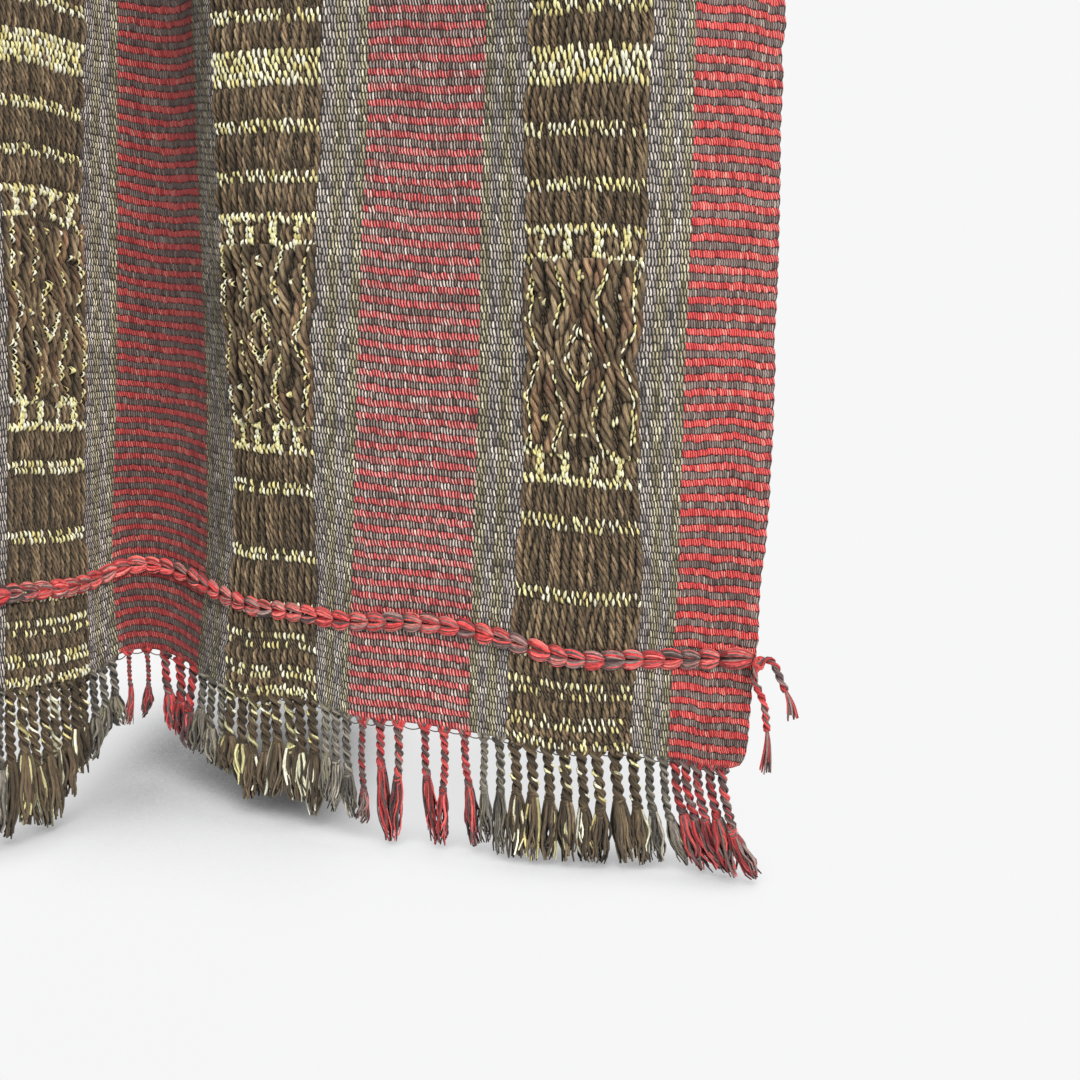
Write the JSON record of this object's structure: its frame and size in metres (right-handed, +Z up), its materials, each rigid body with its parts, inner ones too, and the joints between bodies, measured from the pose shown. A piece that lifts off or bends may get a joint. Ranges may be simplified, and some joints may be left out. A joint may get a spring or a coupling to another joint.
{
  "type": "throw blanket",
  "caption": "Hand-woven striped throw, a hanging cut length in soft folds, with blocks of thick floats, a twined cord above the hem and a knotted fringe.",
  "frame": {"origin": "middle of the top edge, where the cloth is held", "axes": "+Z up along the hanging cloth, -Y towards the front face, +X to the right selvedge as seen from the front"},
  "size_m": [0.6244, 0.1264, 0.7691],
  "materials": {
    "woven_cotton": "matte",
    "fringe_cotton": "matte",
    "twined_cotton": "matte"
  },
  "bodies": {
    "root": {"cloth": "woven_cotton", "fringe": "fringe_cotton", "twined_cord": "twined_cotton", "cord_tail_upper": "twined_cotton", "cord_tail_lower": "twined_cotton"}
  },
  "joints": []
}
